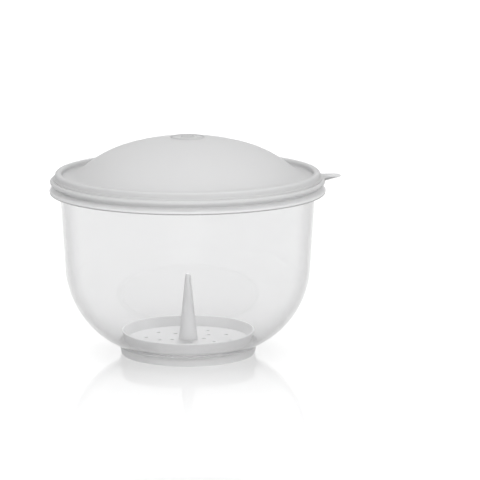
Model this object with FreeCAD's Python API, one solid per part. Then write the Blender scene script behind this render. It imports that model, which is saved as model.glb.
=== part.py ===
import FreeCAD, Part
import math
import os
from collections import namedtuple

# Lettuce keeper: a clear bowl, a press-on domed lid with a pull tab, and a drain insert whose
# centre spike holds the lettuce by its core.  Three one-piece plastic mouldings.
# Millimetres.  +Z is up, the origin is the centre of the plane that the foot rests on, and +X
# points to the lid's pull tab.  Every piece is turned about Z from its outline in the r-z plane.

# ---- driving dimensions ----

RUNNING_GAP = 0.3          # between pieces that come apart

# bowl
BOWL_WALL = 2.2
BOWL_CURVE_RADIUS = 77.0   # outer radius of the round lower part
BOWL_CURVE_CENTRE = (29.2, 79.1)
WALL_LEAN = 3.3            # degrees that the upper wall leans outward
CURVE_START_Z = 9.2        # where the round part meets the foot
FOOT_RADIUS = 57.8
FOOT_TOP_RADIUS = 59.8
FOOT_TOP_Z = 8.0
FOOT_RING_WIDTH = 2.4
FLOOR_Z = 6.6              # inside floor
FLOOR_THICKNESS = 2.2
FLANGE_RADIUS = 119.2
FLANGE_ROOT_Z = 146.2
FLANGE_EDGE_Z = 144.0
FLANGE_BOTTOM_Z = 141.3
NECK_RADIUS = 112.3
BEAD_RADIUS = 112.6
BEAD_Z = 154.0
NECK_INNER_RADIUS = 110.1
BOWL_RIM_Z = 157.8

# lid
LID_SKIN = 1.4
CROWN_Z = 189.3
CROWN_RADIUS = 190.0
CROWN_REACH = 54.0         # where the crown's curve passes into the tighter shoulder
SHOULDER_RADIUS = 105.0
SHOULDER_SLOPE = 39.3      # degrees, the dome's steepest slope
TROUGH_Z = 155.0
TROUGH_FILLET = 13.0
TROUGH_REACH = 104.4       # where the trough's floor becomes flat
RIM_INNER_RADIUS = 108.4
RIM_OUTER_RADIUS = 114.1
RIM_Z = 159.5
LID_FLANGE_RADIUS = 118.4
LID_FLANGE_Z = 153.0
BEAD_EDGE_ROUNDING = 1.8   # of the flange's edge, a round bead
LIP_LEAVES = 50.0          # degrees below level at which the lip leaves the bead
LIP_RADIUS = 114.8         # the lip leans inward from the bead to here
LIP_BOTTOM_Z = 147.3
LIP_THICKNESS = 1.4
CROWN_RINGS = (5.4, 14.0)  # radii of the two raised rings on the crown
CROWN_RING_WIRE = 0.9
CROWN_RING_SINK = 0.4

# pull tab, part of the lid
TAB_REACH = 134.0
TAB_WIDTH = 14.0
TAB_THICKNESS = 2.0
TAB_CORNER = 4.0
TAB_ROOT_FILLET = 4.0
TAB_ROOT_RADIUS = 116.0    # the fillets touch this circle, just inside the flange's edge

# drain insert
PLATE_BOTTOM_Z = 9.0
PLATE_THICKNESS = 1.8
INSERT_BASE_RADIUS = 54.6
INSERT_RIM_RADIUS = 58.2
INSERT_RIM_Z = 20.0
INSERT_WALL = 1.7
HOLE_RADIUS = 2.0
HOLE_RINGS = ((14.0, 4, 0), (25.0, 5, 36), (37.5, 10, 18))  # ring radius, count, first angle
SPIKE_BASE_RADIUS = 8.1
SPIKE_BASE_Z = 12.5
SPIKE_MIDDLE = (4.8, 42.7)  # radius and height half way up its slightly hollow side
SPIKE_TIP_RADIUS = 2.45
SPIKE_TIP_Z = 67.6
SPIKE_SKIN = 1.6
FEET_COUNT = 6
FEET_RADIUS = 41.0
FEET_WIDTH = 1.8
FEET_GAP = 24.0            # width of the drain gaps between the feet

AXIS = FreeCAD.Vector(0, 0, 1)
ORIGIN = FreeCAD.Vector(0, 0, 0)

# An outline is a list of corners, each (r, z) or (r, z, rounding radius), and bows.
Bow = namedtuple("Bow", "centre radius start end")


# ---- drawing helpers ----

def on_circle(centre, radius, angle):
    """The point (r, z) of a circle at an angle in degrees from the +r direction."""
    turn = math.radians(angle)
    return (centre[0] + radius * math.cos(turn), centre[1] + radius * math.sin(turn))


def arc_edge(start, middle, end):
    """An arc in the r-z plane through three (r, z) points."""
    points = [FreeCAD.Vector(r, 0, z) for r, z in (start, middle, end)]
    return Part.Arc(*points).toShape()


def line_edge(start, end):
    """A straight edge in the r-z plane between two (r, z) points."""
    points = [FreeCAD.Vector(r, 0, z) for r, z in (start, end)]
    return Part.makeLine(*points)


def ends(step):
    """Where an outline step begins and ends, before any rounding."""
    if isinstance(step, Bow):
        first = on_circle(step.centre, step.radius, step.start)
        last = on_circle(step.centre, step.radius, step.end)
        return first, last
    return step[:2], step[:2]


def rounding(before, corner, after, radius):
    """Start, middle and end of the arc that rounds a corner between two straight edges."""
    toward = []
    for other in (before, after):
        length = math.dist(corner, other)
        toward.append(((other[0] - corner[0]) / length, (other[1] - corner[1]) / length))
    cosine = toward[0][0] * toward[1][0] + toward[0][1] * toward[1][1]
    half = math.acos(max(-1.0, min(1.0, cosine))) / 2
    setback = radius / math.tan(half)
    start, end = [(corner[0] + setback * d[0], corner[1] + setback * d[1]) for d in toward]
    inward = (toward[0][0] + toward[1][0], toward[0][1] + toward[1][1])
    length = math.hypot(*inward)
    depth = radius / math.sin(half) - radius
    middle = (corner[0] + depth * inward[0] / length, corner[1] + depth * inward[1] / length)
    return start, middle, end


def outline(steps):
    """A closed wire through corners, rounded corners and bows."""
    edges = []
    joints = []
    for index, step in enumerate(steps):
        first, last = ends(step)
        if isinstance(step, Bow):
            middle = on_circle(step.centre, step.radius, (step.start + step.end) / 2)
            edges.append(arc_edge(first, middle, last))
        elif len(step) == 3:
            before = ends(steps[index - 1])[1]
            after = ends(steps[(index + 1) % len(steps)])[0]
            first, middle, last = rounding(before, step[:2], after, step[2])
            edges.append(arc_edge(first, middle, last))
        joints.append((first, last))
    for index, (first, last) in enumerate(joints):
        following = joints[(index + 1) % len(joints)][0]
        if math.dist(last, following) > 1e-6:
            edges.append(line_edge(last, following))
    return Part.Wire(Part.__sortEdges__(edges))


def turned(steps):
    """The solid of an outline turned about Z."""
    return Part.Face(outline(steps)).revolve(ORIGIN, AXIS, 360)


# ---- bowl ----

def curve_angle(radius, height):
    """Angle on a circle about the bowl's curve centre where it passes a height, in degrees."""
    return math.degrees(math.asin((height - BOWL_CURVE_CENTRE[1]) / radius))


def wall_radius(height, depth=0.0):
    """Radius of the straight upper wall at a height, at a depth under its outer face."""
    lean = math.radians(WALL_LEAN)
    start = on_circle(BOWL_CURVE_CENTRE, BOWL_CURVE_RADIUS - depth, -WALL_LEAN)
    return start[0] + (height - start[1]) * math.tan(lean)


def make_bowl():
    inner_radius = BOWL_CURVE_RADIUS - BOWL_WALL
    outer_start = curve_angle(BOWL_CURVE_RADIUS, CURVE_START_Z)
    inner_start = curve_angle(inner_radius, FLOOR_Z)
    recess_radius = FOOT_RADIUS - FOOT_RING_WIDTH
    recess_z = FLOOR_Z - FLOOR_THICKNESS
    underside_z = FLANGE_BOTTOM_Z + 1.8
    ledge_z = FLANGE_ROOT_Z - 3.0
    return turned([
        (0, recess_z),
        (recess_radius, recess_z, 1.2),
        (recess_radius + 0.4, 0, 0.7),
        (FOOT_RADIUS, 0, 0.8),
        (FOOT_TOP_RADIUS, FOOT_TOP_Z, 1.0),
        Bow(BOWL_CURVE_CENTRE, BOWL_CURVE_RADIUS, outer_start, -WALL_LEAN),
        (wall_radius(underside_z), underside_z, 1.0),
        (FLANGE_RADIUS - 0.5, FLANGE_BOTTOM_Z, 0.8),
        (FLANGE_RADIUS, FLANGE_EDGE_Z, 0.9),
        (NECK_RADIUS, FLANGE_ROOT_Z, 0.8),
        (NECK_RADIUS, BEAD_Z, 1.0),
        (BEAD_RADIUS, BEAD_Z + 0.8, 0.6),
        (BEAD_RADIUS, BOWL_RIM_Z, 1.0),
        (NECK_INNER_RADIUS, BOWL_RIM_Z, 1.0),
        (NECK_INNER_RADIUS, ledge_z + 1.5, 1.5),
        (wall_radius(ledge_z - 1.5, BOWL_WALL), ledge_z - 1.5, 2.0),
        Bow(BOWL_CURVE_CENTRE, inner_radius, -WALL_LEAN, inner_start),
        (0, FLOOR_Z),
    ])


# ---- lid ----

def dome_bows(depth):
    """The dome's crown, shoulder and trough fillet, at a depth under its outer face."""
    crown_centre = (0, CROWN_Z - CROWN_RADIUS)
    crown_end = math.degrees(math.acos(CROWN_REACH / CROWN_RADIUS))
    shoulder_centre = on_circle(crown_centre, CROWN_RADIUS - SHOULDER_RADIUS, crown_end)
    shoulder_end = 90 - SHOULDER_SLOPE
    fillet_centre = (TROUGH_REACH, TROUGH_Z + TROUGH_FILLET)
    return [
        Bow(crown_centre, CROWN_RADIUS - depth, 90, crown_end),
        Bow(shoulder_centre, SHOULDER_RADIUS - depth, crown_end, shoulder_end),
        Bow(fillet_centre, TROUGH_FILLET + depth, 180 + shoulder_end, 270),
    ]


def reversed_bows(bows):
    """The same bows walked the other way."""
    return [Bow(b.centre, b.radius, b.end, b.start) for b in reversed(bows)]


def make_lid_shell():
    plug_radius = NECK_INNER_RADIUS - RUNNING_GAP
    channel_radius = BEAD_RADIUS + RUNNING_GAP
    channel_top = BOWL_RIM_Z + RUNNING_GAP
    bead_centre = (LID_FLANGE_RADIUS - BEAD_EDGE_ROUNDING, LID_FLANGE_Z - BEAD_EDGE_ROUNDING)
    return turned([
        *dome_bows(0),
        (RIM_INNER_RADIUS, TROUGH_Z, 1.2),
        (RIM_INNER_RADIUS, RIM_Z, 2.2),
        (RIM_OUTER_RADIUS, RIM_Z, 2.2),
        (RIM_OUTER_RADIUS, LID_FLANGE_Z, 1.0),
        Bow(bead_centre, BEAD_EDGE_ROUNDING, 90, -LIP_LEAVES),
        (LIP_RADIUS, LIP_BOTTOM_Z, 0.6),
        (LIP_RADIUS - LIP_THICKNESS, LIP_BOTTOM_Z, 0.5),
        (LIP_RADIUS, LID_FLANGE_Z - LIP_THICKNESS, 0.6),
        (channel_radius, LID_FLANGE_Z - LIP_THICKNESS, 0.5),
        (channel_radius, channel_top, 0.9),
        (plug_radius, channel_top, 0.9),
        (plug_radius, TROUGH_Z - LID_SKIN, 1.0),
        *reversed_bows(dome_bows(LID_SKIN)),
    ])


def crown_height(radius):
    """Height of the crown's outer face at a radius."""
    return CROWN_Z - CROWN_RADIUS + math.sqrt(CROWN_RADIUS ** 2 - radius ** 2)


def make_crown_ring(radius):
    """A raised ring, sunk so that only its top stands proud."""
    centre = FreeCAD.Vector(0, 0, crown_height(radius) - CROWN_RING_SINK)
    return Part.makeTorus(radius, CROWN_RING_WIRE, centre, AXIS)


def make_tab():
    """A flat tongue, flush with the top of the lid's flange and filleted into its edge."""
    half = TAB_WIDTH / 2
    root_y = half + TAB_ROOT_FILLET
    root_x = math.sqrt((TAB_ROOT_RADIUS + TAB_ROOT_FILLET) ** 2 - root_y ** 2)
    meet = math.degrees(math.atan2(root_y, root_x))
    plan = outline([
        Bow((root_x, root_y), TAB_ROOT_FILLET, 180 + meet, 270),
        (TAB_REACH, half, TAB_CORNER),
        (TAB_REACH, -half, TAB_CORNER),
        Bow((root_x, -root_y), TAB_ROOT_FILLET, 90, 180 - meet),
    ])
    plan.rotate(ORIGIN, FreeCAD.Vector(1, 0, 0), -90)
    plan.translate(AXIS * (LID_FLANGE_Z - TAB_THICKNESS))
    return Part.Face(plan).extrude(AXIS * TAB_THICKNESS)


def make_lid():
    additions = [make_crown_ring(radius) for radius in CROWN_RINGS]
    additions.append(make_tab())
    return make_lid_shell().fuse(additions).removeSplitter()


# ---- drain insert with its spike ----

def make_tray():
    """The round plate with its upstanding, slightly flared rim."""
    plate_top = PLATE_BOTTOM_Z + PLATE_THICKNESS
    return turned([
        (0, PLATE_BOTTOM_Z),
        (INSERT_BASE_RADIUS, PLATE_BOTTOM_Z, 1.2),
        (INSERT_RIM_RADIUS, INSERT_RIM_Z, 0.8),
        (INSERT_RIM_RADIUS - INSERT_WALL, INSERT_RIM_Z, 0.8),
        (INSERT_BASE_RADIUS - INSERT_WALL, plate_top, 0.8),
        (0, plate_top),
    ])


def spike_outline(inset, foot_z):
    """The spike's side from its foot to its tip, drawn inset from its outer face."""
    side = [
        (SPIKE_BASE_RADIUS - inset, SPIKE_BASE_Z),
        (SPIKE_MIDDLE[0] - inset, SPIKE_MIDDLE[1]),
        (SPIKE_TIP_RADIUS - inset, SPIKE_TIP_Z),
    ]
    tip_radius = SPIKE_TIP_RADIUS - inset
    tip_centre = (0, SPIKE_TIP_Z)
    edges = [
        line_edge((0, foot_z), (side[0][0], foot_z)),
        line_edge((side[0][0], foot_z), side[0]),
        arc_edge(*side),
        arc_edge(side[2], on_circle(tip_centre, tip_radius, 45), (0, SPIKE_TIP_Z + tip_radius)),
        line_edge((0, SPIKE_TIP_Z + tip_radius), (0, foot_z)),
    ]
    return Part.Wire(edges)


def make_spike(inset, foot_z):
    return Part.Face(spike_outline(inset, foot_z)).revolve(ORIGIN, AXIS, 360)


def make_holes():
    """Drain holes in rings round the spike."""
    holes = []
    for ring_radius, count, first in HOLE_RINGS:
        for index in range(count):
            turn = math.radians(first + 360 * index / count)
            x = ring_radius * math.cos(turn)
            y = ring_radius * math.sin(turn)
            foot = FreeCAD.Vector(x, y, PLATE_BOTTOM_Z - 1)
            holes.append(Part.makeCylinder(HOLE_RADIUS, PLATE_THICKNESS + 2, foot))
    return holes


def make_feet():
    """A low ring under the plate, cut into feet so that water drains between them."""
    foot_z = FLOOR_Z + 0.2
    height = PLATE_BOTTOM_Z - foot_z + 0.5
    base = FreeCAD.Vector(0, 0, foot_z)
    ring = Part.makeCylinder(FEET_RADIUS + FEET_WIDTH / 2, height, base)
    ring = ring.cut(Part.makeCylinder(FEET_RADIUS - FEET_WIDTH / 2, height, base))
    gaps = []
    for index in range(FEET_COUNT):
        gap = Part.makeBox(FEET_RADIUS + 5, FEET_GAP, height, base - FreeCAD.Vector(0, FEET_GAP / 2, 0))
        gap.rotate(ORIGIN, AXIS, 360 * index / FEET_COUNT)
        gaps.append(gap)
    return ring.cut(gaps).Solids


def make_insert():
    spike = make_spike(0, PLATE_BOTTOM_Z + PLATE_THICKNESS / 2)
    insert = make_tray().fuse([spike, *make_feet()])
    hollow = make_spike(SPIKE_SKIN, PLATE_BOTTOM_Z - 1)
    return insert.cut([hollow, *make_holes()]).removeSplitter()


# ---- write one file per piece ----

def main():
    pieces = {
        "bowl": make_bowl(),
        "lid": make_lid(),
        "drain_insert": make_insert(),
    }
    os.makedirs("parts", exist_ok=True)
    for name, piece in pieces.items():
        solid = piece.Solids[0]
        if len(piece.Solids) != 1 or not solid.isValid():
            raise RuntimeError(name + " is not one valid solid")
        solid.exportStep(os.path.join("parts", name + ".step"))
        box = solid.BoundBox
        print(name, round(solid.Volume / 1000, 1), "cm3", [round(v, 2) for v in (
            box.XMin, box.XMax, box.YMin, box.YMax, box.ZMin, box.ZMax)])


main()
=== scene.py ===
import math
from collections import namedtuple

import bmesh
import bpy
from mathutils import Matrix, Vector


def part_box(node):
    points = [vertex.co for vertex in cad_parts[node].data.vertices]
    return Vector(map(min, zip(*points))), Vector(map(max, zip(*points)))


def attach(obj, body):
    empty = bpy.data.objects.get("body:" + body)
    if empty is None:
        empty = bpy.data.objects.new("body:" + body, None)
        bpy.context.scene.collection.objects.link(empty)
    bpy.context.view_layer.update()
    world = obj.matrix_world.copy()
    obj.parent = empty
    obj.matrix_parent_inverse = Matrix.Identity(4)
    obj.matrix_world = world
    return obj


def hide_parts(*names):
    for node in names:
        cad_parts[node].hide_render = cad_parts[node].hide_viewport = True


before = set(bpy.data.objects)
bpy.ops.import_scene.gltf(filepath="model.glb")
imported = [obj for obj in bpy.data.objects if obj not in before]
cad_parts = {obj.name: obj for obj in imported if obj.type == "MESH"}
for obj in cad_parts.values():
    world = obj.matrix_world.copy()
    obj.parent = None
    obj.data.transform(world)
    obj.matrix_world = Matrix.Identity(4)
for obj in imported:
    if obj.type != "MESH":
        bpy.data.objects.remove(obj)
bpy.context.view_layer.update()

# Looks of the lettuce keeper: a clear bowl, a satin white press-on lid with its pull tab, and a
# white drain insert with a centre spike.  Metres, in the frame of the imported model.

MM = 0.001

# ---- sizes read from the frame ----

BOWL_LOW, BOWL_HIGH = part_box("bowl")
LID_LOW, LID_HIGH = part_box("lid")
INSERT_LOW, INSERT_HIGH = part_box("drain_insert")

# ---- the pieces' own dimensions ----

# bowl
BOWL_WALL = 2.2 * MM
BOWL_CURVE_RADIUS = 77.0 * MM
BOWL_CURVE_CENTRE = (29.2 * MM, 79.1 * MM)
WALL_LEAN = 3.3                    # degrees
CURVE_START_Z = 9.2 * MM
FOOT_RADIUS = 57.8 * MM
FOOT_TOP_RADIUS = 59.8 * MM
FOOT_TOP_Z = 8.0 * MM
FOOT_RING_WIDTH = 2.4 * MM
FOOT_RING_DRAFT = 0.4 * MM
FLOOR_Z = 6.6 * MM
FLOOR_THICKNESS = 2.2 * MM
FLANGE_RADIUS = BOWL_HIGH.y + 0.1 * MM
FLANGE_ROOT_Z = 146.2 * MM
FLANGE_EDGE_Z = 144.0 * MM
FLANGE_BOTTOM_Z = 141.3 * MM
FLANGE_HOLLOW = 1.8 * MM           # how far the flange's underside rises to the wall
FLANGE_DRAFT = 0.5 * MM            # how much smaller its edge is at the bottom than at the top
NECK_RADIUS = 112.3 * MM
BEAD_RADIUS = 112.6 * MM
BEAD_Z = 154.0 * MM
BEAD_HEIGHT = 0.8 * MM
NECK_INNER_RADIUS = 110.1 * MM
SHOULDER_DROP = 3.0 * MM           # from the flange's root to the slope inside, neck to wall
SHOULDER_HALF = 1.5 * MM           # half the height of that slope
BOWL_RIM_Z = BOWL_HIGH.z

# lid
GAP = 0.3 * MM
LID_SKIN = 1.4 * MM
CROWN_Z = 189.3 * MM
CROWN_RADIUS = 190.0 * MM
CROWN_REACH = 54.0 * MM
SHOULDER_RADIUS = 105.0 * MM
SHOULDER_SLOPE = 39.3              # degrees
TROUGH_Z = 155.0 * MM
TROUGH_FILLET = 13.0 * MM
TROUGH_REACH = 104.4 * MM
RIM_INNER_RADIUS = 108.4 * MM
RIM_OUTER_RADIUS = 114.1 * MM
RIM_Z = 159.5 * MM
LID_FLANGE_RADIUS = 118.4 * MM
LID_FLANGE_Z = 153.0 * MM
LIP_RADIUS = 114.8 * MM
LIP_BOTTOM_Z = LID_LOW.z
LIP_LEAVES = 50.0                  # degrees below level at which the lip leaves the bead
LIP_THICKNESS = 1.4 * MM
BEAD_ROUNDING = 1.8 * MM           # of the flange's edge
LEDGE_RADIUS = 115.3 * MM          # a low step round the foot of the rim
LEDGE_Z = 154.2 * MM
CROWN_RINGS = (5.4 * MM, 14.0 * MM)
CROWN_RING_HEIGHT = 1.0 * MM
CROWN_RING_WIDTH = 1.6 * MM
CROWN_RING_STEP = 0.2 * MM         # between the points of the crown's profile
# painted shade along the crown's raised rings, as a share of the lid's colour
CROWN_RING_PAINTED_SHADE = 0.8             # of the lid's colour

# pull tab
TAB_REACH = LID_HIGH.x
TAB_WIDTH = 14.0 * MM
TAB_THICKNESS = 2.0 * MM
TAB_CORNER = 4.0 * MM
TAB_ROOT_FILLET = 4.0 * MM
TAB_SECTOR = 9.0                   # degrees each side of +X that the tab's root takes up
TAB_STEPS = 120
TAB_EDGE_SQUEEZE = 0.6             # how much steeper the tab's edge is than the lip
TAB_GROWS_OVER = 4.0 * MM          # past the flange, where the lip thins into the tab

# drain insert
PLATE_BOTTOM_Z = 9.0 * MM
PLATE_THICKNESS = 1.8 * MM
INSERT_BASE_RADIUS = 54.6 * MM
INSERT_RIM_RADIUS = 58.2 * MM
INSERT_RIM_Z = 20.0 * MM
INSERT_WALL = 1.7 * MM
HOLE_RADIUS = 2.0 * MM
HOLE_BEVEL = 0.35 * MM
HOLE_RINGS = ((14.0 * MM, 4, 0), (25.0 * MM, 5, 36), (37.5 * MM, 10, 18))  # radius, count, first
HOLE_BANDS = (10.0 * MM, 19.5 * MM, 31.0 * MM, 42.0 * MM)  # circles between the rings of holes
PLATE_SEGMENTS = 240               # a multiple of every count of holes
BAND_STEPS = 6                     # points across a band of holes
FEET_COUNT = 6
FEET_RADIUS = 41.0 * MM
FEET_WIDTH = 1.8 * MM
FEET_GAP = 24.0 * MM
FEET_CLEARANCE = 0.2 * MM
FEET_BEVEL = 0.3 * MM
FEET_SUNK = 0.3 * MM               # into the plate
FEET_STEPS = 16
SPIKE_BASE_RADIUS = 8.1 * MM
SPIKE_BASE_Z = 12.5 * MM
SPIKE_MIDDLE = (4.8 * MM, 42.7 * MM)
SPIKE_TIP_RADIUS = 2.45 * MM
SPIKE_TIP_Z = 67.6 * MM
SPIKE_SKIN = 1.6 * MM
SPIKE_STEPS = 32

SEGMENTS = 384                     # round each turned piece
BOW_STEP = 1.6                     # degrees between the points of a large arc
CORNER_STEP = 12.0                 # degrees between the points of a rounded corner

Bow = namedtuple("Bow", "centre radius start end")


# ---- outlines in the r-z plane ----

def on_circle(centre, radius, angle):
    turn = math.radians(angle)
    return (centre[0] + radius * math.cos(turn), centre[1] + radius * math.sin(turn))


def bow_points(bow, step=BOW_STEP):
    """Points along an arc given by its centre, radius and two angles in degrees."""
    count = max(2, math.ceil(abs(bow.end - bow.start) / step))
    angles = [bow.start + (bow.end - bow.start) * i / count for i in range(count + 1)]
    return [on_circle(bow.centre, bow.radius, angle) for angle in angles]


def corner_points(before, corner, after, radius):
    """Points of the arc that rounds a corner between two straight edges."""
    middle = Vector(corner)
    toward = [(Vector(p) - middle).normalized() for p in (before, after)]
    half = toward[0].angle(toward[1]) / 2
    setback = radius / math.tan(half)
    centre = middle + (toward[0] + toward[1]).normalized() * radius / math.sin(half)
    start = (middle + toward[0] * setback) - centre
    end = (middle + toward[1] * setback) - centre
    turn = start.angle_signed(end)
    count = max(3, math.ceil(math.degrees(abs(turn)) / CORNER_STEP))
    points = []
    for i in range(count + 1):
        angle = -turn * i / count
        x = start.x * math.cos(angle) - start.y * math.sin(angle)
        y = start.x * math.sin(angle) + start.y * math.cos(angle)
        points.append((centre.x + x, centre.y + y))
    return points


def ends(step):
    if isinstance(step, Bow):
        first = on_circle(step.centre, step.radius, step.start)
        last = on_circle(step.centre, step.radius, step.end)
        return first, last
    return step[:2], step[:2]


def outline(steps):
    """Points through corners (r, z), rounded corners (r, z, radius) and bows."""
    points = []
    for index, step in enumerate(steps):
        if isinstance(step, Bow):
            new = bow_points(step)
        elif len(step) == 3:
            before = ends(steps[index - 1])[1]
            after = ends(steps[(index + 1) % len(steps)])[0]
            new = corner_points(before, step[:2], after, step[2])
        else:
            new = [step]
        for point in new:
            if not points or math.dist(point, points[-1]) > 1e-7:
                points.append(point)
    return points


# ---- meshes ----

def make_piece(name, vertices, faces):
    mesh = bpy.data.meshes.new(name)
    mesh.from_pydata(vertices, [], faces)
    mesh.validate()
    mesh.update()
    mesh.shade_smooth()
    piece = bpy.data.objects.new(name, mesh)
    bpy.context.scene.collection.objects.link(piece)
    return piece


def lathe(profile, angles):
    """Vertices and faces of a profile turned about Z.  Points on the axis become poles."""
    vertices = []
    rings = []
    for r, z in profile:
        if r < 1e-7:
            rings.append([len(vertices)])
            vertices.append((0, 0, z))
        else:
            rings.append(list(range(len(vertices), len(vertices) + len(angles))))
            vertices.extend((r * math.cos(a), r * math.sin(a), z) for a in angles)
    faces = []
    for low, high in zip(rings, rings[1:]):
        for i in range(len(angles)):
            j = (i + 1) % len(angles)
            if len(low) == 1 and len(high) > 1:
                faces.append((low[0], high[j], high[i]))
            elif len(high) == 1 and len(low) > 1:
                faces.append((low[i], low[j], high[0]))
            elif len(low) > 1:
                faces.append((low[i], low[j], high[j], high[i]))
    return vertices, faces, rings


def even_angles(count=SEGMENTS):
    return [2 * math.pi * i / count for i in range(count)]


# ---- bowl ----

def curve_angle(radius, height):
    return math.degrees(math.asin((height - BOWL_CURVE_CENTRE[1]) / radius))


def wall_radius(height, depth=0.0):
    """The wall's radius at a height, at a depth under its outer face."""
    start = on_circle(BOWL_CURVE_CENTRE, BOWL_CURVE_RADIUS - depth, -WALL_LEAN)
    return start[0] + (height - start[1]) * math.tan(math.radians(WALL_LEAN))


def build_bowl():
    """The bowl from the middle of its underside, up the outside and down the inside."""
    inner_radius = BOWL_CURVE_RADIUS - BOWL_WALL
    outer_start = curve_angle(BOWL_CURVE_RADIUS, CURVE_START_Z)
    inner_start = curve_angle(inner_radius, FLOOR_Z)
    recess_radius = FOOT_RADIUS - FOOT_RING_WIDTH
    recess_z = FLOOR_Z - FLOOR_THICKNESS
    underside_z = FLANGE_BOTTOM_Z + FLANGE_HOLLOW
    shoulder_z = FLANGE_ROOT_Z - SHOULDER_DROP
    slope_top = shoulder_z + SHOULDER_HALF
    slope_bottom = shoulder_z - SHOULDER_HALF
    profile = outline([
        (0, recess_z),
        (recess_radius, recess_z, 1.2 * MM),
        (recess_radius + FOOT_RING_DRAFT, 0, 0.7 * MM),
        (FOOT_RADIUS, 0, 0.8 * MM),
        (FOOT_TOP_RADIUS, FOOT_TOP_Z, 1.0 * MM),
        Bow(BOWL_CURVE_CENTRE, BOWL_CURVE_RADIUS, outer_start, -WALL_LEAN),
        (wall_radius(underside_z), underside_z, 1.0 * MM),
        (FLANGE_RADIUS - FLANGE_DRAFT, FLANGE_BOTTOM_Z, 0.8 * MM),
        (FLANGE_RADIUS, FLANGE_EDGE_Z, 0.9 * MM),
        (NECK_RADIUS, FLANGE_ROOT_Z, 0.8 * MM),
        (NECK_RADIUS, BEAD_Z, 1.0 * MM),
        (BEAD_RADIUS, BEAD_Z + BEAD_HEIGHT, 0.6 * MM),
        (BEAD_RADIUS, BOWL_RIM_Z, 1.0 * MM),
        (NECK_INNER_RADIUS, BOWL_RIM_Z, 1.0 * MM),
        (NECK_INNER_RADIUS, slope_top, 1.5 * MM),
        (wall_radius(slope_bottom, BOWL_WALL), slope_bottom, 2.0 * MM),
        Bow(BOWL_CURVE_CENTRE, inner_radius, -WALL_LEAN, inner_start),
        (0, FLOOR_Z),
    ])
    vertices, faces, _ = lathe(profile, even_angles())
    return make_piece("bowl_shell", vertices, faces)


# ---- lid ----

def dome_bows(depth):
    """The dome's crown, shoulder and fillet into the trough, at a depth under its top face."""
    crown_centre = (0, CROWN_Z - CROWN_RADIUS)
    crown_end = math.degrees(math.acos(CROWN_REACH / CROWN_RADIUS))
    shoulder_centre = on_circle(crown_centre, CROWN_RADIUS - SHOULDER_RADIUS, crown_end)
    shoulder_end = 90 - SHOULDER_SLOPE
    fillet_centre = (TROUGH_REACH, TROUGH_Z + TROUGH_FILLET)
    return [
        Bow(crown_centre, CROWN_RADIUS - depth, 90, crown_end),
        Bow(shoulder_centre, SHOULDER_RADIUS - depth, crown_end, shoulder_end),
        Bow(fillet_centre, TROUGH_FILLET + depth, 180 + shoulder_end, 270),
    ]


def reversed_bows(bows):
    return [Bow(b.centre, b.radius, b.end, b.start) for b in reversed(bows)]


def ring_height(r):
    """How far the raised crown rings stand above the crown at a radius."""
    height = 0.0
    for ring in CROWN_RINGS:
        across = abs(r - ring) / (CROWN_RING_WIDTH / 2)
        if across < 1:
            height += CROWN_RING_HEIGHT * math.cos(across * math.pi / 2) ** 2
    return height


def crown_profile():
    """The crown from the axis to past its rings, with points close enough for the rings."""
    outer = CROWN_RINGS[-1] + CROWN_RING_WIDTH
    count = round(outer / CROWN_RING_STEP)
    base = CROWN_Z - CROWN_RADIUS
    points = []
    for i in range(count + 1):
        r = outer * i / count
        points.append((r, base + math.sqrt(CROWN_RADIUS ** 2 - r ** 2) + ring_height(r)))
    return points


def lid_flange_steps():
    """The lid's flange and the lip that leans in under it, from the rim wall to the channel."""
    bead_centre = (LID_FLANGE_RADIUS - BEAD_ROUNDING, LID_FLANGE_Z - BEAD_ROUNDING)
    return [
        Bow(bead_centre, BEAD_ROUNDING, 90, -LIP_LEAVES),
        (LIP_RADIUS, LIP_BOTTOM_Z, 0.6 * MM),
        (LIP_RADIUS - LIP_THICKNESS, LIP_BOTTOM_Z, 0.5 * MM),
        (LIP_RADIUS, LID_FLANGE_Z - LIP_THICKNESS, 0.6 * MM),
    ]


def lid_profile():
    """The lid from the crown's middle, out over the rim and back along its underside."""
    plug_radius = NECK_INNER_RADIUS - GAP
    channel_radius = BEAD_RADIUS + GAP
    channel_top = BOWL_RIM_Z + GAP
    crown, shoulder, fillet = dome_bows(0)
    crown_points = crown_profile()
    crown_start = math.degrees(math.acos(crown_points[-1][0] / CROWN_RADIUS))
    steps = [
        Bow(crown.centre, crown.radius, crown_start, crown.end),
        shoulder,
        fillet,
        (RIM_INNER_RADIUS, TROUGH_Z, 1.2 * MM),
        (RIM_INNER_RADIUS, RIM_Z, 2.2 * MM),
        (RIM_OUTER_RADIUS, RIM_Z, 2.2 * MM),
        (RIM_OUTER_RADIUS, LEDGE_Z, 1.0 * MM),
        (LEDGE_RADIUS, LEDGE_Z, 0.3 * MM),
        (LEDGE_RADIUS, LID_FLANGE_Z - 0.2 * MM, 0.15 * MM),
        *lid_flange_steps(),
        (channel_radius, LID_FLANGE_Z - LIP_THICKNESS, 0.5 * MM),
        (channel_radius, channel_top, 0.9 * MM),
        (plug_radius, channel_top, 0.9 * MM),
        (plug_radius, TROUGH_Z - LID_SKIN, 1.0 * MM),
        *reversed_bows(dome_bows(LID_SKIN)),
    ]
    return crown_points[:-1] + outline(steps)


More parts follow.
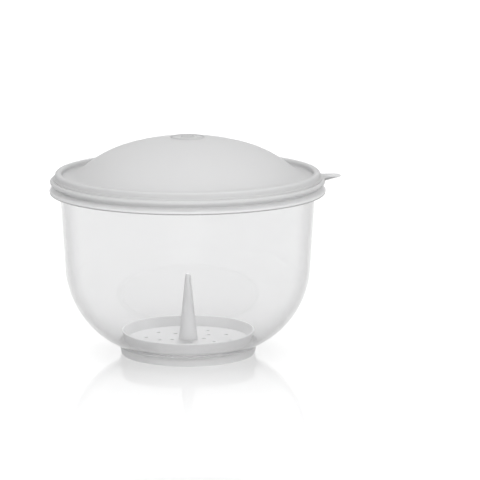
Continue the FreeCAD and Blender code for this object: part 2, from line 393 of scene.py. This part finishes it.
def tab_path():
    """The flange's edge in plan over the tab's sector: half of it, from the flange to the tip."""
    half = TAB_WIDTH / 2
    fillet_y = half + TAB_ROOT_FILLET
    reach = LID_FLANGE_RADIUS + TAB_ROOT_FILLET
    fillet_x = math.sqrt(reach ** 2 - fillet_y ** 2)
    meet = math.degrees(math.atan2(fillet_y, fillet_x))
    flange = bow_points(Bow((0, 0), LID_FLANGE_RADIUS, TAB_SECTOR, meet), 0.25)
    root = bow_points(Bow((fillet_x, fillet_y), TAB_ROOT_FILLET, 180 + meet, 270), 5)
    corner_centre = (TAB_REACH - TAB_CORNER, half - TAB_CORNER)
    corner = bow_points(Bow(corner_centre, TAB_CORNER, 90, 0), 5)
    return flange + root[1:] + corner + [(TAB_REACH, 0)]


def walk(path, share):
    """The point at a share of a path's length, and the path's direction there."""
    lengths = [math.dist(a, b) for a, b in zip(path, path[1:])]
    left = share * sum(lengths)
    for (a, b), length in zip(zip(path, path[1:]), lengths):
        if left <= length or b is path[-1]:
            t = min(1.0, left / length)
            point = Vector(a).lerp(Vector(b), t)
            return point, (Vector(b) - Vector(a)).normalized()
        left -= length
    raise ValueError("share is past the path's end")


def smooth_step(value, low, high):
    """Rises smoothly from 0 to 1 as the value goes from low to high."""
    t = min(1.0, max(0.0, (value - low) / (high - low)))
    return t * t * (3 - 2 * t)


def lid_angles():
    """Angles round the lid, closer together over the tab's sector."""
    sector = math.radians(TAB_SECTOR)
    fine = [-sector + 2 * sector * i / TAB_STEPS for i in range(TAB_STEPS + 1)]
    rest = 2 * math.pi - 2 * sector
    count = round(SEGMENTS * rest / (2 * math.pi))
    return fine + [sector + rest * i / count for i in range(1, count)]


def shape_tab(vertices, rings, profile):
    """Draws the flange's edge out into the pull tab, one column of points at a time."""
    path = tab_path()
    thin = TAB_THICKNESS / (LID_FLANGE_Z - LIP_BOTTOM_Z)
    middle = TAB_STEPS // 2
    for ring, (r, z) in zip(rings, profile):
        if r <= LEDGE_RADIUS + 0.1 * MM:
            continue
        for i in range(1, TAB_STEPS):
            share = 1 - abs(i - middle) / middle
            side = 1 if i > middle else -1
            point, along = walk(path, share)
            normal = Vector((along.y, -along.x))
            tab_starts = LID_FLANGE_RADIUS + TAB_GROWS_OVER
            out = smooth_step(point.length, LID_FLANGE_RADIUS, tab_starts)
            inset = (LID_FLANGE_RADIUS - r) * (1 - out * TAB_EDGE_SQUEEZE)
            spot = point + normal * inset
            drop = (LID_FLANGE_Z - z) * (1 - out * (1 - thin))
            vertices[ring[i]] = (spot.x, side * spot.y, LID_FLANGE_Z - drop)


def build_lid():
    profile = lid_profile()
    vertices, faces, rings = lathe(profile, lid_angles())
    shape_tab(vertices, rings, profile)
    return make_piece("lid_shell", vertices, faces)


# ---- drain insert ----

def spike_side():
    """The spike's slightly hollow side from its base to its tip, as a curve through 3 points."""
    a = Vector((SPIKE_BASE_RADIUS, SPIKE_BASE_Z))
    b = Vector(SPIKE_MIDDLE)
    c = Vector((SPIKE_TIP_RADIUS, SPIKE_TIP_Z))
    points = []
    for i in range(SPIKE_STEPS + 1):
        t = i / SPIKE_STEPS
        z = a.y + (c.y - a.y) * t
        u, v, w = z - a.y, z - b.y, z - c.y
        r = (
            a.x * v * w / ((a.y - b.y) * (a.y - c.y))
            + b.x * u * w / ((b.y - a.y) * (b.y - c.y))
            + c.x * u * v / ((c.y - a.y) * (c.y - b.y))
        )
        points.append((r, z))
    return points


def polar(radius, angle, z):
    return (radius * math.cos(angle), radius * math.sin(angle), z)


def cell_edge(low, high, first, steps):
    """Points (radius, angle) anticlockwise round the cell of one hole."""
    turn = 2 * math.pi / PLATE_SEGMENTS
    angles = [first + turn * i for i in range(steps + 1)]
    across = [low + (high - low) * i / BAND_STEPS for i in range(BAND_STEPS + 1)]
    edge = [(low, angle) for angle in angles[::-1]]
    edge += [(radius, angles[0]) for radius in across[1:]]
    edge += [(high, angle) for angle in angles[1:]]
    edge += [(radius, angles[-1]) for radius in across[-2:0:-1]]
    return edge


def add_loops(vertices, faces, loops):
    """Adds closed loops of points and the bands of faces between them."""
    count = len(loops[0])
    start = len(vertices)
    for loop in loops:
        vertices.extend(loop)
    for k in range(len(loops) - 1):
        for i in range(count):
            j = (i + 1) % count
            low = start + k * count
            faces.append((low + i, low + j, low + count + j, low + count + i))


def hole_loops(edge, ring_radius, angle, top, bottom):
    """Loops from a cell's top edge in to its hole, down the hole and out to the bottom edge."""
    centre = Vector(polar(ring_radius, angle, 0))
    heading = []
    for radius, at in edge:
        away = Vector(polar(radius, at, 0)) - centre
        heading.append(away.normalized())

    def circle(radius, z):
        return [tuple(centre + way * radius + Vector((0, 0, z))) for way in heading]

    soft = HOLE_BEVEL * (1 - math.sqrt(0.5))
    wide = HOLE_RADIUS + HOLE_BEVEL
    return [
        [polar(radius, at, top) for radius, at in edge],
        circle(wide + 0.5 * HOLE_BEVEL, top),
        circle(wide, top),
        circle(HOLE_RADIUS + soft, top - soft),
        circle(HOLE_RADIUS, top - HOLE_BEVEL),
        circle(HOLE_RADIUS, bottom + HOLE_BEVEL),
        circle(HOLE_RADIUS + soft, bottom + soft),
        circle(wide, bottom),
        circle(wide + 0.5 * HOLE_BEVEL, bottom),
        [polar(radius, at, bottom) for radius, at in edge],
    ]


def add_plate(vertices, faces, top, bottom):
    """The flat plate between its inner and outer circles, with its rings of drain holes."""
    for band, (ring_radius, count, first) in enumerate(HOLE_RINGS):
        low, high = HOLE_BANDS[band:band + 2]
        steps = PLATE_SEGMENTS // count
        for index in range(count):
            middle = math.radians(first + 360 * index / count)
            start = middle - math.pi / count
            edge = cell_edge(low, high, start, steps)
            add_loops(vertices, faces, hole_loops(edge, ring_radius, middle, top, bottom))


def add_turned(vertices, faces, profile):
    """Adds a profile turned about Z, with as many points round as the plate."""
    more, sides, _ = lathe(profile, even_angles(PLATE_SEGMENTS))
    start = len(vertices)
    vertices.extend(more)
    faces.extend(tuple(start + i for i in side) for side in sides)


def add_feet(vertices, faces):
    """Six arcs of a low ring under the plate, each a closed strip sunk into the plate."""
    low = FLOOR_Z + FEET_CLEARANCE
    high = PLATE_BOTTOM_Z + FEET_SUNK
    inner = FEET_RADIUS - FEET_WIDTH / 2
    outer = FEET_RADIUS + FEET_WIDTH / 2
    section = [
        (inner, high), (inner, low + FEET_BEVEL), (inner + FEET_BEVEL, low),
        (outer - FEET_BEVEL, low), (outer, low + FEET_BEVEL), (outer, high),
    ]
    half_gap = math.asin(FEET_GAP / 2 / FEET_RADIUS)
    for index in range(FEET_COUNT):
        begin = 2 * math.pi * index / FEET_COUNT + half_gap
        span = 2 * math.pi / FEET_COUNT - 2 * half_gap
        start = len(vertices)
        for k in range(FEET_STEPS + 1):
            vertices.extend(polar(r, begin + span * k / FEET_STEPS, z) for r, z in section)
        size = len(section)
        for k in range(FEET_STEPS):
            for i in range(size):
                a = start + k * size + i
                b = start + k * size + (i + 1) % size
                faces.append((a, b, b + size, a + size))
        faces.append(tuple(start + i for i in range(size))[::-1])
        faces.append(tuple(start + FEET_STEPS * size + i for i in range(size)))


def weld(piece):
    """Joins points that lie on each other, and turns every face outward."""
    mesh = bmesh.new()
    mesh.from_mesh(piece.data)
    bmesh.ops.remove_doubles(mesh, verts=mesh.verts, dist=0.002 * MM)
    bmesh.ops.recalc_face_normals(mesh, faces=mesh.faces)
    mesh.to_mesh(piece.data)
    mesh.free()


def build_insert():
    """The insert: its spike, drilled plate, rim, the spike's hollow and the feet, welded."""
    top = PLATE_BOTTOM_Z + PLATE_THICKNESS
    side = spike_side()
    tip = Bow((0, SPIKE_TIP_Z), SPIKE_TIP_RADIUS, 90, 8)
    plate_inner, plate_outer = HOLE_BANDS[0], HOLE_BANDS[-1]
    spike_foot = outline([
        (SPIKE_BASE_RADIUS, SPIKE_BASE_Z),
        (SPIKE_BASE_RADIUS, top, 1.0 * MM),
        (plate_inner, top),
    ])
    rim = outline([
        (plate_outer, top),
        (INSERT_BASE_RADIUS - INSERT_WALL, top, 0.8 * MM),
        (INSERT_RIM_RADIUS - INSERT_WALL, INSERT_RIM_Z, 0.8 * MM),
        (INSERT_RIM_RADIUS, INSERT_RIM_Z, 0.8 * MM),
        (INSERT_BASE_RADIUS, PLATE_BOTTOM_Z, 1.2 * MM),
        (plate_outer, PLATE_BOTTOM_Z),
    ])
    hollow = outline([
        (plate_inner, PLATE_BOTTOM_Z),
        (SPIKE_BASE_RADIUS - SPIKE_SKIN, PLATE_BOTTOM_Z, 0.5 * MM),
        (SPIKE_BASE_RADIUS - SPIKE_SKIN, SPIKE_BASE_Z),
    ])
    hollow += [(r - SPIKE_SKIN, z) for r, z in side[1:-3]]
    hollow.append((0, side[-3][1]))
    vertices, faces = [], []
    add_turned(vertices, faces, bow_points(tip, 8) + side[::-1] + spike_foot[1:])
    add_plate(vertices, faces, top, PLATE_BOTTOM_Z)
    add_turned(vertices, faces, rim)
    add_turned(vertices, faces, hollow)
    add_feet(vertices, faces)
    piece = make_piece("insert_body", vertices, faces)
    weld(piece)
    return piece


# ---- materials ----

CLEAR_TINT = (0.84, 0.84, 0.843, 1)
EDGE_TINT = (0.5, 0.5, 0.502, 1)
EDGE_ON = (0.5, 0.9)      # Facing values between which the clear wall takes the edge's tint
SHADOW_TINT = (0.97, 0.97, 0.97, 1)   # what the clear plastic leaves of a lamp's light
ABSORPTION = 3.0          # per metre of plastic
HAZE_COLOUR = (0.95, 0.95, 0.953, 1)
FLANGE_HAZE = 0.8         # share of milky surface on the bowl's flange and neck
FOOT_HAZE = 0.7           # and on its foot
# painted shade: a dark colour mixed into the milky plastic along the flange's bottom edge, and a
# little over the foot
FLANGE_EDGE_PAINTED_SHADE = (0.45, 0.45, 0.452, 1)  # of the milky plastic along the flange's bottom edge
PAINTED_SHADE_BAND = (1.6 * MM, 0.8 * MM)      # from that edge, where the colour starts and is full
FOOT_PAINTED_SHADE = 0.05         # how far the foot's colour goes toward it
LID_COLOUR = (0.735, 0.735, 0.737)
LID_ROUGHNESS = (0.32, 0.42)
LID_THROUGH = 0.5         # share of the surface that lets light through
INSERT_COLOUR = (0.93, 0.93, 0.932)
INSERT_ROUGHNESS = (0.35, 0.45)
INSERT_THROUGH = 0.35
PATCH_SCALE = 45.0        # of the patches of gloss
GRAIN_SCALE = 1400.0      # of the fine moulded grain
GRAIN = 0.15
GRAIN_DEPTH = 0.05 * MM


def new_material(name):
    material = bpy.data.materials.new(name)
    material.use_nodes = True
    tree = material.node_tree
    tree.nodes.clear()
    out = tree.nodes.new("ShaderNodeOutputMaterial")
    return material, tree, out


def add_node(tree, kind, **inputs):
    node = tree.nodes.new(kind)
    for name, value in inputs.items():
        node.inputs[name.replace("_", " ")].default_value = value
    return node


def noise(tree, scale, detail):
    place = tree.nodes.new("ShaderNodeTexCoord")
    node = add_node(tree, "ShaderNodeTexNoise", Scale=scale, Detail=detail)
    tree.links.new(place.outputs["Object"], node.inputs["Vector"])
    return node


def spread(tree, source, low, high):
    """Maps a noise's middle range onto low to high."""
    node = tree.nodes.new("ShaderNodeMapRange")
    node.inputs["From Min"].default_value = 0.3
    node.inputs["From Max"].default_value = 0.7
    node.inputs["To Min"].default_value = low
    node.inputs["To Max"].default_value = high
    tree.links.new(source, node.inputs["Value"])
    return node.outputs["Result"]


def between(tree, source, start, end, most):
    """Rises from 0 to most as the source goes from start to end."""
    node = tree.nodes.new("ShaderNodeMapRange")
    node.interpolation_type = "SMOOTHSTEP"
    node.inputs["From Min"].default_value = start
    node.inputs["From Max"].default_value = end
    node.inputs["To Min"].default_value = 0.0
    node.inputs["To Max"].default_value = most
    tree.links.new(source, node.inputs["Value"])
    return node.outputs["Result"]


def crown_rings_painted_shade(tree, colour):
    """The plastic's colour, with painted shade darkening it along the crown's raised rings."""
    place = tree.nodes.new("ShaderNodeTexCoord")
    flat = tree.nodes.new("ShaderNodeVectorMath")
    flat.operation = "MULTIPLY"
    flat.inputs[1].default_value = (1, 1, 0)
    tree.links.new(place.outputs["Object"], flat.inputs[0])
    radius = tree.nodes.new("ShaderNodeVectorMath")
    radius.operation = "LENGTH"
    tree.links.new(flat.outputs["Vector"], radius.inputs[0])
    ring_shade_shares = []
    for ring in CROWN_RINGS:
        away = tree.nodes.new("ShaderNodeMath")
        away.operation = "SUBTRACT"
        away.inputs[1].default_value = ring
        tree.links.new(radius.outputs["Value"], away.inputs[0])
        distance = tree.nodes.new("ShaderNodeMath")
        distance.operation = "ABSOLUTE"
        tree.links.new(away.outputs["Value"], distance.inputs[0])
        half = CROWN_RING_WIDTH / 2
        ring_shade_shares.append(between(tree, distance.outputs["Value"], 1.2 * half, 0.8 * half, 1.0))
    ring_shade_mask = tree.nodes.new("ShaderNodeMath")
    ring_shade_mask.operation = "MAXIMUM"
    tree.links.new(ring_shade_shares[0], ring_shade_mask.inputs[0])
    tree.links.new(ring_shade_shares[1], ring_shade_mask.inputs[1])
    ring_shaded_colour = tree.nodes.new("ShaderNodeMix")
    ring_shaded_colour.data_type = "RGBA"
    ring_shaded_colour.inputs["A"].default_value = (*colour, 1)
    ring_shaded_colour.inputs["B"].default_value = (*(c * CROWN_RING_PAINTED_SHADE for c in colour), 1)
    tree.links.new(ring_shade_mask.outputs["Value"], ring_shaded_colour.inputs["Factor"])
    return ring_shaded_colour.outputs[2]


def white_plastic(name, colour, roughness, through, paint_ring_shade=False):
    """Satin moulded plastic: a fine grain, patchy gloss, and some light let through."""
    material, tree, out = new_material(name)
    shader = add_node(tree, "ShaderNodeBsdfPrincipled", IOR=1.51)
    shader.inputs["Base Color"].default_value = (*colour, 1)
    # painted shade: the colour darkens along the crown's raised rings
    if paint_ring_shade:
        tree.links.new(crown_rings_painted_shade(tree, colour), shader.inputs["Base Color"])
    patches = noise(tree, PATCH_SCALE, 4.0)
    low, high = roughness
    tree.links.new(spread(tree, patches.outputs["Fac"], low, high), shader.inputs["Roughness"])
    fine = noise(tree, GRAIN_SCALE, 3.0)
    bump = add_node(tree, "ShaderNodeBump", Strength=GRAIN, Distance=GRAIN_DEPTH)
    tree.links.new(fine.outputs["Fac"], bump.inputs["Height"])
    tree.links.new(bump.outputs["Normal"], shader.inputs["Normal"])
    glow = tree.nodes.new("ShaderNodeBsdfTranslucent")
    glow.inputs["Color"].default_value = (*colour, 1)
    mix = add_node(tree, "ShaderNodeMixShader", Fac=through)
    tree.links.new(shader.outputs["BSDF"], mix.inputs[1])
    tree.links.new(glow.outputs["BSDF"], mix.inputs[2])
    tree.links.new(mix.outputs["Shader"], out.inputs["Surface"])
    return material


def clear_plastic():
    """Clarified polypropylene: clear, greyer where it is thick, milky at its foot and flange,
    with painted shade along the flange's bottom edge and a little over the foot.

    Lamps shine through it, so that what is inside is lit.
    """
    material, tree, out = new_material("clear_plastic")
    glass = add_node(tree, "ShaderNodeBsdfPrincipled", IOR=1.49, Roughness=0.0)
    glass.inputs["Transmission Weight"].default_value = 1.0
    facing = add_node(tree, "ShaderNodeLayerWeight", Blend=0.5).outputs["Facing"]
    edge_on = between(tree, facing, *EDGE_ON, 1.0)
    tint = tree.nodes.new("ShaderNodeMix")
    tint.data_type = "RGBA"
    tint.inputs["A"].default_value = CLEAR_TINT
    tint.inputs["B"].default_value = EDGE_TINT
    tree.links.new(edge_on, tint.inputs["Factor"])
    tree.links.new(tint.outputs[2], glass.inputs["Base Color"])
    body = add_node(tree, "ShaderNodeVolumeAbsorption", Density=ABSORPTION)
    body.inputs["Color"].default_value = (0, 0, 0, 1)
    tree.links.new(body.outputs["Volume"], out.inputs["Volume"])

    place = tree.nodes.new("ShaderNodeTexCoord")
    height = tree.nodes.new("ShaderNodeSeparateXYZ")
    tree.links.new(place.outputs["Object"], height.inputs["Vector"])
    above = add_node(tree, "ShaderNodeMath")
    above.operation = "SUBTRACT"
    above.inputs[1].default_value = FLANGE_BOTTOM_Z
    tree.links.new(height.outputs["Z"], above.inputs[0])
    away = add_node(tree, "ShaderNodeMath")
    away.operation = "ABSOLUTE"
    tree.links.new(above.outputs["Value"], away.inputs[0])
    # painted shade: the milky colour turns dark along the flange's bottom edge and a little over
    # the foot
    near = between(tree, away.outputs["Value"], *PAINTED_SHADE_BAND, 1.0)
    low = between(tree, height.outputs["Z"], FOOT_TOP_Z + 2 * MM, FOOT_TOP_Z, FOOT_PAINTED_SHADE)
    edge_shade_mask = add_node(tree, "ShaderNodeMath")
    edge_shade_mask.operation = "MAXIMUM"
    tree.links.new(near, edge_shade_mask.inputs[0])
    tree.links.new(low, edge_shade_mask.inputs[1])
    milk_with_shade = tree.nodes.new("ShaderNodeMix")
    milk_with_shade.data_type = "RGBA"
    milk_with_shade.inputs["A"].default_value = HAZE_COLOUR
    milk_with_shade.inputs["B"].default_value = FLANGE_EDGE_PAINTED_SHADE
    tree.links.new(edge_shade_mask.outputs["Value"], milk_with_shade.inputs["Factor"])
    front = tree.nodes.new("ShaderNodeBsdfDiffuse")
    tree.links.new(milk_with_shade.outputs[2], front.inputs["Color"])
    behind = tree.nodes.new("ShaderNodeBsdfTranslucent")
    tree.links.new(milk_with_shade.outputs[2], behind.inputs["Color"])
    haze = add_node(tree, "ShaderNodeMixShader", Fac=0.5)
    tree.links.new(front.outputs["BSDF"], haze.inputs[1])
    tree.links.new(behind.outputs["BSDF"], haze.inputs[2])

    flange_start = FLANGE_BOTTOM_Z - 1 * MM
    rim = between(tree, height.outputs["Z"], flange_start, FLANGE_BOTTOM_Z, FLANGE_HAZE)
    foot = between(tree, height.outputs["Z"], FOOT_TOP_Z + 2 * MM, FOOT_TOP_Z - 2 * MM, FOOT_HAZE)
    share = tree.nodes.new("ShaderNodeMath")
    share.operation = "ADD"
    tree.links.new(rim, share.inputs[0])
    tree.links.new(foot, share.inputs[1])
    milky = tree.nodes.new("ShaderNodeMixShader")
    tree.links.new(share.outputs["Value"], milky.inputs["Fac"])
    tree.links.new(glass.outputs["BSDF"], milky.inputs[1])
    tree.links.new(haze.outputs["Shader"], milky.inputs[2])

    through = tree.nodes.new("ShaderNodeBsdfTransparent")
    through.inputs["Color"].default_value = SHADOW_TINT
    path = tree.nodes.new("ShaderNodeLightPath")
    surface = tree.nodes.new("ShaderNodeMixShader")
    tree.links.new(path.outputs["Is Shadow Ray"], surface.inputs["Fac"])
    tree.links.new(milky.outputs["Shader"], surface.inputs[1])
    tree.links.new(through.outputs["BSDF"], surface.inputs[2])
    tree.links.new(surface.outputs["Shader"], out.inputs["Surface"])
    return material


# ---- studio ----

CAMERA_TURN = 8.5         # degrees that the tab points away from the picture's right
CAMERA_BACK = 2.5255      # metres, with the next three
CAMERA_UP = 0.5642
AIM_RIGHT = 0.0451
AIM_UP = 0.0989
LENS = 222.66             # mm, on a 36 mm sensor

WORLD_LEVEL = 1.15
TOP_GLOW = 0.45
SIDE_DIMMING = 0.32       # dark screens at both sides, which draw the edges of the clear bowl
SIDES = (0.12, 0.45)      # how far aside the screens start and are full
GLOW_HEIGHTS = (0.3, 1.0)
LIGHT_AIM = Vector((0, 0, 0.1))
KEY_PLACE = (0.4, -1.85, 0.75)        # right, forward and up
KEY_SIZE = 1.4
KEY_POWER = 21.0
FILL_PLACE = (0.05, 0.6, 1.15)
FILL_SIZE = 0.5
FILL_POWER = 12.5

TABLE_HALF = 12.0
TABLE_COLOUR = (0.7, 0.7, 0.7, 1)
TABLE_GLOW = 0.4          # keeps the table white under the camera
TABLE_MIRROR_IOR = 1.8
TABLE_BOUNCE = (0.68, 0.68, 0.68, 1)  # the table as other surfaces are lit by it
BOUNCES = 32              # enough for light to cross the bowl's walls


def view_axes():
    """The camera's level right and forward directions."""
    turn = math.radians(CAMERA_TURN)
    right = Vector((math.cos(turn), -math.sin(turn), 0))
    forward = Vector((math.sin(turn), math.cos(turn), 0))
    return right, forward


def make_camera():
    right, forward = view_axes()
    data = bpy.data.cameras.new("camera")
    data.lens = LENS
    data.sensor_width = 36.0
    data.clip_end = 50.0
    camera = bpy.data.objects.new("camera", data)
    camera.location = -forward * CAMERA_BACK + Vector((0, 0, CAMERA_UP))
    aim = right * AIM_RIGHT + Vector((0, 0, AIM_UP))
    camera.rotation_euler = (aim - camera.location).to_track_quat("-Z", "Y").to_euler()
    bpy.context.scene.collection.objects.link(camera)
    bpy.context.scene.camera = camera


def make_light(name, place, size, power):
    """A square soft box at a place given as right, forward and up, aimed at the bowl."""
    right, forward = view_axes()
    data = bpy.data.lights.new(name, "AREA")
    data.shape = "SQUARE"
    data.size = size
    data.energy = power
    light = bpy.data.objects.new(name, data)
    light.location = right * place[0] + forward * place[1] + Vector((0, 0, place[2]))
    toward = LIGHT_AIM - light.location
    light.rotation_euler = toward.to_track_quat("-Z", "Y").to_euler()
    bpy.context.scene.collection.objects.link(light)
    return light


def light_only(light, pieces):
    """Lets a light fall on some pieces, as if nothing else stood in its way."""
    chosen = bpy.data.collections.new(light.name + "_subject")
    for piece in pieces:
        chosen.objects.link(piece)
    light.light_linking.receiver_collection = chosen
    light.light_linking.blocker_collection = chosen


def make_world():
    """White all round, dimmer at both sides and brighter from above."""
    world = bpy.data.worlds.new("studio")
    world.use_nodes = True
    tree = world.node_tree
    background = tree.nodes["Background"]
    background.inputs["Color"].default_value = (1, 1, 1, 1)
    right, _ = view_axes()
    place = tree.nodes.new("ShaderNodeTexCoord")
    across = tree.nodes.new("ShaderNodeVectorMath")
    across.operation = "DOT_PRODUCT"
    across.inputs[1].default_value = right
    tree.links.new(place.outputs["Generated"], across.inputs[0])
    aside = add_node(tree, "ShaderNodeMath")
    aside.operation = "ABSOLUTE"
    tree.links.new(across.outputs["Value"], aside.inputs[0])
    screens = between(tree, aside.outputs["Value"], *SIDES, SIDE_DIMMING)
    height = tree.nodes.new("ShaderNodeSeparateXYZ")
    tree.links.new(place.outputs["Generated"], height.inputs["Vector"])
    glow = between(tree, height.outputs["Z"], *GLOW_HEIGHTS, TOP_GLOW)
    level = add_node(tree, "ShaderNodeMath")
    level.operation = "SUBTRACT"
    level.inputs[0].default_value = WORLD_LEVEL
    tree.links.new(screens, level.inputs[1])
    total = add_node(tree, "ShaderNodeMath")
    total.operation = "ADD"
    tree.links.new(level.outputs["Value"], total.inputs[0])
    tree.links.new(glow, total.inputs[1])
    tree.links.new(total.outputs["Value"], background.inputs["Strength"])
    bpy.context.scene.world = world


def make_floor():
    """A white glossy table top, a little darker in the light it throws than it is seen."""
    half = TABLE_HALF
    corners = [(-half, -half, 0), (half, -half, 0), (half, half, 0), (-half, half, 0)]
    floor = make_piece("floor", corners, [(0, 1, 2, 3)])
    material, tree, out = new_material("table_top")
    matt = tree.nodes.new("ShaderNodeBsdfDiffuse")
    matt.inputs["Color"].default_value = TABLE_COLOUR
    lit = add_node(tree, "ShaderNodeEmission", Strength=TABLE_GLOW)
    both = tree.nodes.new("ShaderNodeAddShader")
    tree.links.new(matt.outputs["BSDF"], both.inputs[0])
    tree.links.new(lit.outputs["Emission"], both.inputs[1])
    gloss = add_node(tree, "ShaderNodeBsdfGlossy", Roughness=0.05)
    gloss.inputs["Color"].default_value = (1, 1, 1, 1)
    mirror = add_node(tree, "ShaderNodeFresnel", IOR=TABLE_MIRROR_IOR)
    mix = tree.nodes.new("ShaderNodeMixShader")
    tree.links.new(mirror.outputs["Fac"], mix.inputs["Fac"])
    tree.links.new(both.outputs["Shader"], mix.inputs[1])
    tree.links.new(gloss.outputs["BSDF"], mix.inputs[2])
    dim = tree.nodes.new("ShaderNodeBsdfDiffuse")
    dim.inputs["Color"].default_value = TABLE_BOUNCE
    path = tree.nodes.new("ShaderNodeLightPath")
    seen = tree.nodes.new("ShaderNodeMixShader")
    tree.links.new(path.outputs["Diffuse Depth"], seen.inputs["Fac"])
    tree.links.new(mix.outputs["Shader"], seen.inputs[1])
    tree.links.new(dim.outputs["BSDF"], seen.inputs[2])
    tree.links.new(seen.outputs["Shader"], out.inputs["Surface"])
    floor.data.materials.append(material)


# ---- put it together ----

def dress(piece, body, node, material):
    piece.data.materials.append(material)
    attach(piece, body)
    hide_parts(node)


make_camera()
make_world()
make_floor()

bowl = build_bowl()
dress(bowl, "bowl", "bowl", clear_plastic())
lid = build_lid()
# the lid's plastic, with painted shade along its crown rings
lid_white = white_plastic("lid_plastic", LID_COLOUR, LID_ROUGHNESS, LID_THROUGH, True)
dress(lid, "lid", "lid", lid_white)
insert = build_insert()
insert_white = white_plastic(
    "insert_plastic", INSERT_COLOUR, INSERT_ROUGHNESS, INSERT_THROUGH
)
dress(insert, "drain_insert", "drain_insert", insert_white)

key = make_light("key", KEY_PLACE, KEY_SIZE, KEY_POWER)
light_only(key, [bowl, lid, insert])
key.visible_glossy = False            # its image would show in the bowl's back wall
key.visible_transmission = False
insert_fill = make_light("insert_fill", FILL_PLACE, FILL_SIZE, FILL_POWER)
light_only(insert_fill, [insert])

view = bpy.context.scene.view_settings
view.view_transform = "Standard"
view.look = "None"
rays = bpy.context.scene.cycles
rays.max_bounces = BOUNCES
rays.transmission_bounces = BOUNCES
